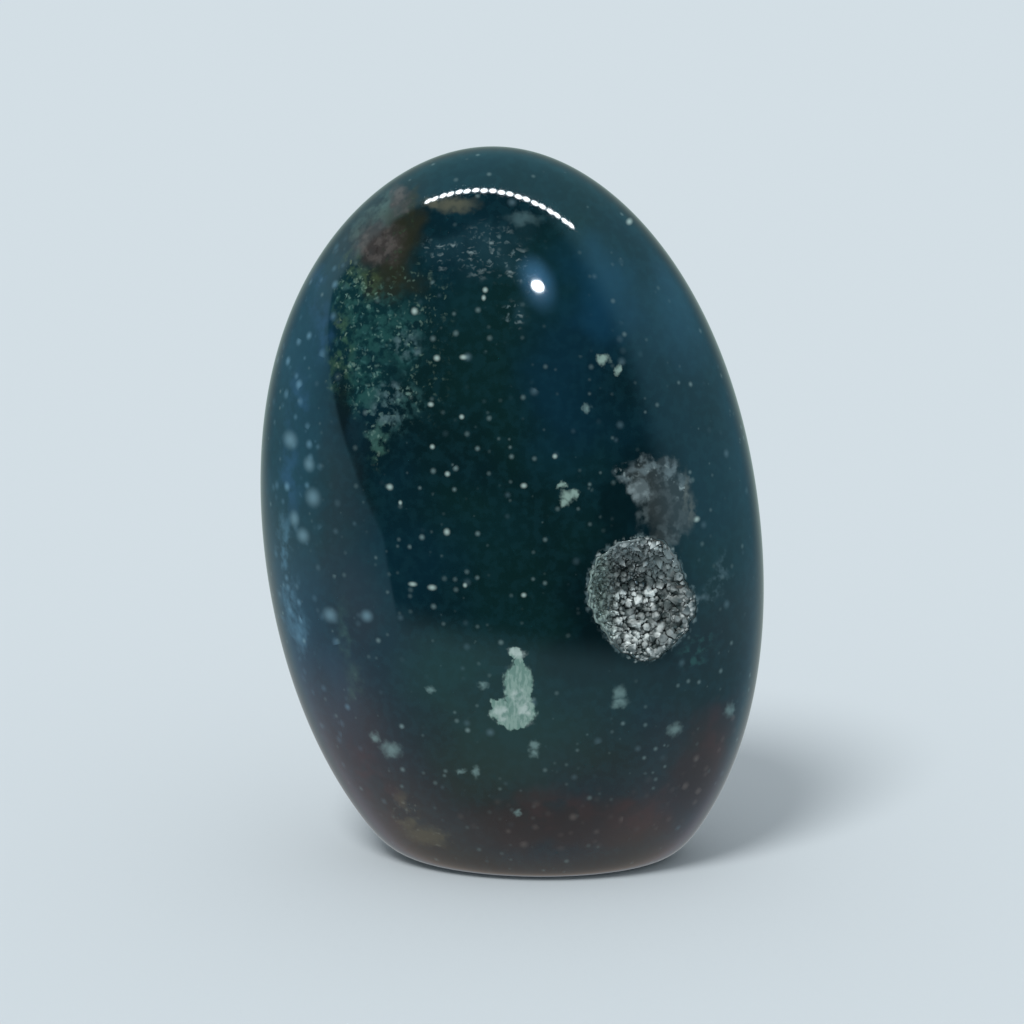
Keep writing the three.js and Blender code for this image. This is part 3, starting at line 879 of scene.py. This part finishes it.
def drusy_quartz():
    finish, tree = start_material("drusy quartz")
    metres = add(tree, "ShaderNodeTexCoord", output="Object")
    place = add(tree, VECTOR_MATH, metres, sockets={"Scale": 1 / MM}, operation="SCALE")
    ragged = wavering(tree, place, *CRUST_WAVER)
    tone = add(tree, "ShaderNodeAttribute", attribute_name="tone", output="Fac")
    tip = add(tree, "ShaderNodeAttribute", attribute_name="tip", output="Fac")
    clumps = add(tree, NOISE, place, sockets=CLUMP_NOISE)
    clumps = add(tree, MAP_RANGE, clumps, *CLUMP_TONES, **SMOOTH)
    # Brighter clumps, and painted light on the top wall
    bright_and_lit = marks(tree, reach_of(tree, ragged, BRIGHT_AND_LIT_CLUMPS, POCKET_REACH), BRIGHT_AND_LIT_EDGE)
    bright_and_lit = add(tree, MAP_RANGE, bright_and_lit, 0.0, 1.0, *DIM_TO_BRIGHT)
    facet = add(tree, "ShaderNodeAttribute", attribute_name="facet", output="Fac")
    # Painted shade darkens each crystal towards its root; its tone and clumps, painted light and painted
    # facet light and shade multiply in
    milky_lit_and_shaded = add(tree, MAP_RANGE, tip, *SHADED_ROOT_TO_TIP)
    for factor in (clumps, bright_and_lit, tone, facet):
        milky_lit_and_shaded = add(tree, MATH, milky_lit_and_shaded, factor, **TIMES)
    cut_grains = specks(tree, place, *CUT_GRAINS)
    cut_grains = add(tree, MATH, cut_grains, CUT_GRAIN_TONE, **TIMES)
    is_bowl = add(tree, MATH, tone, BOWL_TONE, operation="LESS_THAN")
    cut_grains = add(tree, MATH, cut_grains, is_bowl, **TIMES)
    milky_lit_and_shaded = add(tree, MATH, milky_lit_and_shaded, cut_grains, operation="MAXIMUM")

    flat = add(tree, VECTOR_MATH, ragged, (1, 0, 1), **TIMES)
    middle = (POCKET_PLACE[0], 0, POCKET_PLACE[1])
    away = add(tree, VECTOR_MATH, flat, middle, operation="DISTANCE", output="Value")
    lines = add(tree, MATH, away, math.tau / GROWTH_LINE, **TIMES)
    lines = add(tree, MATH, lines, operation="SINE")
    lines = add(tree, MAP_RANGE, lines, -1.0, 1.0, *LINE_TONES)
    across = add(tree, "ShaderNodeSeparateXYZ", metres)
    left_wall = add(tree, MAP_RANGE, across, *LEFT_WALL, **SMOOTH)
    milky_lit_and_shaded = add(tree, MIX, sockets={0: left_wall, 2: milky_lit_and_shaded, 3: lines})

    white = {0: left_wall, 6: colour(MILKY), 7: colour(MILKY_LEFT)}
    white = add(tree, MIX, sockets=white, **COLOURS)
    blend = {0: milky_lit_and_shaded, 6: colour(CLEAR_AND_SHADED), 7: white}
    mixed = add(tree, MIX, sockets=blend, **COLOURS)
    # Smooth grey clump, and painted light on the top wall
    smooth_and_lit = marks(tree, reach_of(tree, ragged, SMOOTH_AND_LIT_CLUMPS, POCKET_REACH), SMOOTH_AND_LIT_EDGE)
    smooth_and_lit = add(tree, MATH, smooth_and_lit, SMOOTH_AND_LIT_COVER, **TIMES)
    blend = {0: smooth_and_lit, 6: mixed, 7: colour(SMOOTH_AND_LIT_GREY)}
    sockets = {
        "Base Color": add(tree, MIX, sockets=blend, **COLOURS),
        "Roughness": CRYSTAL_ROUGHNESS,
        "IOR": QUARTZ_IOR,
    }
    add(tree, "ShaderNodeOutputMaterial", add(tree, "ShaderNodeBsdfPrincipled", sockets=sockets))
    return finish


# %% Make both pieces and fit them to the model
stone = run_tree(stone_tree(polished_chalcedony()), "polished_stone", POCKET)
crust = run_tree(crust_tree(drusy_quartz()), "drusy_crust", CRUST)
for piece, node, slot in (
    (stone, "bloodstone", "polished_bloodstone"),
    (crust, "quartz_crust", "drusy_quartz"),
):
    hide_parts(node)
    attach(piece, "root")
for helper in (egg, pocket_mark):
    bpy.data.objects.remove(helper)

# %% [markdown]
# The studio
#
# A polished dark stone shows the room more than itself, so the room is part of the picture: pale blue-white
# walls, a dark opening in front with soft and crisp edges, a row of small lamps over it and one round lamp.
# The world gives the walls and the opening, which only reflections see, and a plain soft light for the
# rest.

# %% Directions
def direction(azimuth, elevation):
    """A unit vector: azimuth 0 looks to the front, towards -Y, and 90 to the right, towards +X."""
    turn, rise = math.radians(azimuth), math.radians(elevation)
    return Vector((math.sin(turn) * math.cos(rise), -math.cos(turn) * math.cos(rise), math.sin(rise)))


# %% Walls and opening
# The edges of the opening on the left, the right and at the top. Each edge is the azimuth and elevation of
# two points on it, and how soft it is; the left edge has a bend.
OPENING_SIDES = [
    [((-66.0, 8.5), (-44.5, -7.0), 0.012), ((-42.7, -8.0), (-41.6, -17.0), 0.012)],
    [((44.5, 41.0), (50.5, -10.0), 0.12)],
    [((-67.6, 58.7), (51.5, 51.9), 0.06)],
]
OPENING_FOOT = (-21.0, -15.0)
FRONT = direction(0, 10)
# What lies around the opening, one colour over the other: each says between which values of a direction's
# part it sets in.
WALLS = "5e94ae"
OPENING = "06141a"
PLAIN_LIGHT = "cdd2d6"
SURROUNDINGS = [
    ("84c6de", ("sideways", 0.65, 1.0)),
    ("93dcef", ("rise", 0.2, 0.8)),
    ("8cd8fa", ("across", 0.5, 0.9), ("rise", 0.15, 0.5)),
    ("b8d2d8", ("across", -0.35, -0.8), ("rise", 0.2, 0.6)),
    ("8ebecc", ("rise", -0.12, -0.35)),
    ("b4dff2", ("rise", -0.1, -0.4), ("behind", -0.6, -0.1)),
    ("aca49e", ("rise", -0.35, -0.75)),
    ("9cc8ec", ("across", -0.4, -0.85), ("rise", -0.15, -0.45)),
    ("dcd6e2", ("rise", -0.35, -0.6), ("behind", -0.7, -0.2)),
    ("e8d8cc", ("rise", -0.6, -0.9), ("behind", -0.7, -0.2)),
    ("8cb2c8", ("across", 0.45, 0.9), ("rise", -0.1, -0.35), ("rise", -0.85, -0.6)),
    ("b9b9c0", ("across", 0.45, 0.9), ("rise", -0.4, -0.55), ("rise", -0.85, -0.6)),
    ("a6bcb9", ("behind", 0.5, 0.97)),
    ("b6b7bb", ("behind", 0.5, 0.95), ("rise", -0.1, -0.5)),
]


def surroundings():
    world = bpy.data.worlds.new("surroundings")
    world.cycles.sampling_method = "NONE"
    world.use_nodes = True
    bpy.context.scene.world = world
    tree = world.node_tree
    tree.nodes.clear()
    towards = add(tree, "ShaderNodeTexCoord", output="Generated")
    across, behind, rise = add(tree, "ShaderNodeSeparateXYZ", towards).node.outputs
    foot_low, foot_high = (math.sin(math.radians(angle)) for angle in OPENING_FOOT)
    opening = add(tree, MAP_RANGE, rise, foot_low, foot_high, **SMOOTH)
    for edges in OPENING_SIDES:
        inner = 0.0
        for first, second, softness in edges:
            inward = direction(*first).cross(direction(*second)).normalized()
            if inward.dot(FRONT) < 0:
                inward = -inward
            inside = add(tree, VECTOR_MATH, towards, inward, **DOT)
            inside = add(tree, MAP_RANGE, inside, -softness, softness, **SMOOTH)
            inner = add(tree, MATH, inside, inner, operation="MAXIMUM")
        opening = add(tree, MATH, opening, inner, **TIMES)

    sideways = add(tree, MATH, across, operation="ABSOLUTE")
    sides = {"across": across, "sideways": sideways, "behind": behind, "rise": rise}
    walls = colour(WALLS)
    for code, *reaches in SURROUNDINGS:
        cover = 1.0
        for side, start, end in reaches:
            reach = add(tree, MAP_RANGE, sides[side], start, end, **SMOOTH)
            cover = add(tree, MATH, reach, cover, **TIMES)
        blend = {0: cover, 6: walls, 7: colour(code)}
        walls = add(tree, MIX, sockets=blend, **COLOURS)
    blend = {0: opening, 6: walls, 7: colour(OPENING)}
    walls = add(tree, MIX, sockets=blend, **COLOURS)
    path = add(tree, "ShaderNodeLightPath").node.outputs
    seen = {0: path["Is Glossy Ray"], 6: colour(PLAIN_LIGHT), 7: walls}
    seen = add(tree, MIX, sockets=seen, **COLOURS)
    add(tree, "ShaderNodeOutputWorld", add(tree, "ShaderNodeBackground", seen, 1.0))


surroundings()
print(len(SURROUNDINGS), "colours around the opening")


# %% Pieces of the studio
def studio_piece(name, corners, faces, finish):
    mesh = bpy.data.meshes.new(name)
    mesh.from_pydata(corners, [], faces)
    mesh.materials.append(finish)
    piece = bpy.data.objects.new(name, mesh)
    bpy.context.scene.collection.objects.link(piece)
    return piece


def ring(radius, count):
    """Points around a circle in the XY plane."""
    turns = [math.tau * step / count for step in range(count)]
    return [Vector((radius * math.cos(turn), radius * math.sin(turn), 0)) for turn in turns]


# %% Floor
FLOOR_RADIUS = 6.0
FLOOR_CORNERS = 64
FLOOR_COLOUR = "ccd4d8"
floor_finish, floor_tree = start_material("pale floor")
floor_shader = add(floor_tree, "ShaderNodeBsdfDiffuse", colour(FLOOR_COLOUR))
add(floor_tree, "ShaderNodeOutputMaterial", floor_shader)
floor = studio_piece("floor", ring(FLOOR_RADIUS, FLOOR_CORNERS), [range(FLOOR_CORNERS)], floor_finish)
floor.visible_glossy = False

# %% The row of lamps and the round lamp, which only reflections see
LAMP_ROW = (Vector((-124, -54, 293)) * MM, Vector((131, -108, 293)) * MM)
LAMP_COUNT = 19
LAMP_SIZE = 12.0 * MM
LAMP_STAGGER = 1.5 * MM
ROUND_LAMP = Vector((85, -332, 311)) * MM
ROUND_LAMP_SIZE = (33 * MM, 20 * MM)
LAMP_COLOUR = "f2faff"
SMALL_LAMP_STRENGTH, ROUND_LAMP_STRENGTH = 40.0, 60.0
HALO = Vector((84, -322, 316)) * MM
HALO_SIZE = (170 * MM, 125 * MM)
HALO_COLOUR = "74c0ff"
HALO_STRENGTH = 4.2
HALO_CORNERS = 48
TOWARDS_STONE = Vector((0, 0, 60)) * MM


def lamp_finish(name, strength):
    finish, tree = start_material(name)
    finish.cycles.emission_sampling = "NONE"
    add(tree, "ShaderNodeOutputMaterial", add(tree, "ShaderNodeEmission", colour(LAMP_COLOUR), strength))
    return finish


def halo_finish(reach, strength):
    """A glow that fades out towards its rim and lets what is behind it show."""
    finish, tree = start_material("halo")
    finish.cycles.emission_sampling = "NONE"
    metres = add(tree, "ShaderNodeTexCoord", output="Object")
    away = add(tree, VECTOR_MATH, metres, HALO, operation="DISTANCE", output="Value")
    fade = add(tree, MAP_RANGE, away, reach, 0.0, 0.0, strength, **SMOOTH)
    glow = add(tree, "ShaderNodeEmission", colour(HALO_COLOUR), fade)
    both = add(tree, "ShaderNodeAddShader", glow, add(tree, "ShaderNodeBsdfTransparent"))
    add(tree, "ShaderNodeOutputMaterial", both)
    return finish


def lamp(name, places, size, finish, corner_count=16):
    """Flat oval lamps at some places, as one piece, all turned towards the stone."""
    corners, faces = [], []
    for place in places:
        facing = (TOWARDS_STONE - place).to_track_quat("Z", "Y")
        faces.append(range(len(corners), len(corners) + corner_count))
        stretched = [Vector((p.x * size[0], p.y * size[1], 0)) for p in ring(0.5, corner_count)]
        corners += [place + facing @ p for p in stretched]
    piece = studio_piece(name, corners, faces, finish)
    piece.visible_camera = piece.visible_diffuse = piece.visible_shadow = piece.visible_transmission = False


row = [LAMP_ROW[0].lerp(LAMP_ROW[1], index / (LAMP_COUNT - 1)) for index in range(LAMP_COUNT)]
for index, place in enumerate(row):
    place.z += LAMP_STAGGER * (-1) ** index
lamp("row_lamps", row, (LAMP_SIZE, LAMP_SIZE), lamp_finish("small lamp", SMALL_LAMP_STRENGTH))
lamp("round_lamp", [ROUND_LAMP], ROUND_LAMP_SIZE, lamp_finish("round lamp", ROUND_LAMP_STRENGTH))
lamp("halo", [HALO], HALO_SIZE, halo_finish(HALO_SIZE[1] / 2, HALO_STRENGTH), HALO_CORNERS)
print(len(row), "small lamps")

# %% Soft key light from the upper front left
KEY_FROM = direction(-30, 55)
KEY_STRENGTH = 1.8
KEY_ANGLE = math.radians(18)
key = bpy.data.objects.new("soft_key", bpy.data.lights.new("soft_key", "SUN"))
key.data.energy = KEY_STRENGTH
key.data.angle = KEY_ANGLE
key.rotation_euler = KEY_FROM.to_track_quat("Z", "Y").to_euler()
key.visible_glossy = False
bpy.context.scene.collection.objects.link(key)

# %% Camera, as far away and as high as the photograph's perspective tells
AIM = Vector((-0.06, 0, 49.3)) * MM
CAMERA_DISTANCE = 416 * MM
CAMERA_LENS = 105
FAR_END = 20
CAMERA_FROM = direction(0, 12)
camera = bpy.data.objects.new("camera", bpy.data.cameras.new("camera"))
camera.data.lens = CAMERA_LENS
camera.data.clip_end = FAR_END
camera.location = AIM + CAMERA_FROM * CAMERA_DISTANCE
camera.rotation_euler = CAMERA_FROM.to_track_quat("Z", "Y").to_euler()
bpy.context.scene.collection.objects.link(camera)
bpy.context.scene.camera = camera
bpy.context.scene.view_settings.view_transform = "Standard"
